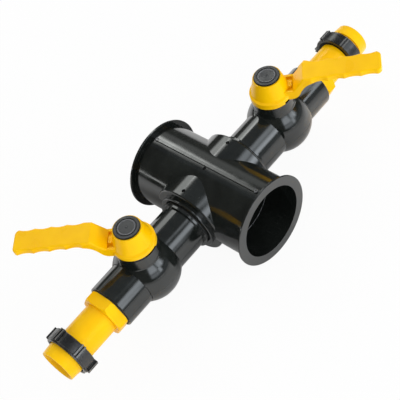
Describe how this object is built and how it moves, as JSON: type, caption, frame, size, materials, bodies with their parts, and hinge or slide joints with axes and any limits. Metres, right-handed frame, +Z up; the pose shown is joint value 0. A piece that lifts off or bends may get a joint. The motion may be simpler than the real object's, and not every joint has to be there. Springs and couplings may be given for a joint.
{
  "type": "irrigation ball valve",
  "caption": "Layflat hose cross: flanged run tube with a quarter-turn ball valve on each side, cranked lever handles, hexagonal connectors and barbed outlets with ribbed lock rings.",
  "frame": {"origin": "under the crossing of the run and branch axes, level with the lowest point of the flanges", "axes": "+X along the branches towards the right outlet, +Y along the run tube towards its back end, +Z up along the valve stems"},
  "size_m": [0.414, 0.1662, 0.102],
  "materials": {
    "black_plastic": "moulded, glossy, faint flow waves",
    "yellow_plastic": "moulded, glossy, saturated yellow",
    "ring_plastic": "moulded, satin gloss",
    "cap_plastic": "moulded, fine satin",
    "seat_plastic": "smooth, waxy white",
    "ball_plastic": "polished",
    "seal_rubber": "matt moulded rubber",
    "screw_steel": "plain turned steel"
  },
  "bodies": {
    "manifold": {"cross_body": "black_plastic", "right_inlet_gasket": "seal_rubber", "left_inlet_gasket": "seal_rubber", "right_valve_body": "black_plastic", "left_valve_body": "black_plastic", "right_valve_end": "black_plastic", "left_valve_end": "black_plastic", "right_inner_seat": "seat_plastic", "left_inner_seat": "seat_plastic", "right_outer_seat": "seat_plastic", "left_outer_seat": "seat_plastic", "right_outlet_connector": "yellow_plastic", "left_outlet_connector": "yellow_plastic", "right_connector_seal": "seal_rubber", "left_connector_seal": "seal_rubber"},
    "right_spindle": {"right_ball": "ball_plastic", "right_stem": "black_plastic", "right_stem_seals": "seal_rubber", "right_handle": "yellow_plastic", "right_handle_screw": "screw_steel", "right_handle_cap": "cap_plastic"},
    "right_lock_ring_body": {"right_lock_ring": "ring_plastic"},
    "left_spindle": {"left_ball": "ball_plastic", "left_stem": "black_plastic", "left_stem_seals": "seal_rubber", "left_handle": "yellow_plastic", "left_handle_screw": "screw_steel", "left_handle_cap": "cap_plastic"},
    "left_lock_ring_body": {"left_lock_ring": "ring_plastic"}
  },
  "joints": [
    {"name": "right_valve_turn", "type": "hinge", "parent": "manifold", "child": "right_spindle", "pos_m": [0.0933, 0, 0.0424], "axis": [0, 0, 1], "range_deg": [-38.5, 51.5]},
    {"name": "left_valve_turn", "type": "hinge", "parent": "manifold", "child": "left_spindle", "pos_m": [-0.0933, 0, 0.0424], "axis": [0, 0, 1], "range_deg": [-38.5, 51.5]},
    {"name": "right_lock_ring_slide", "type": "slide", "parent": "manifold", "child": "right_lock_ring_body", "axis": [1, 0, 0], "range_m": [-0.0266, 0.0132]},
    {"name": "left_lock_ring_slide", "type": "slide", "parent": "manifold", "child": "left_lock_ring_body", "axis": [-1, 0, 0], "range_m": [-0.0305, 0.0093]}
  ]
}
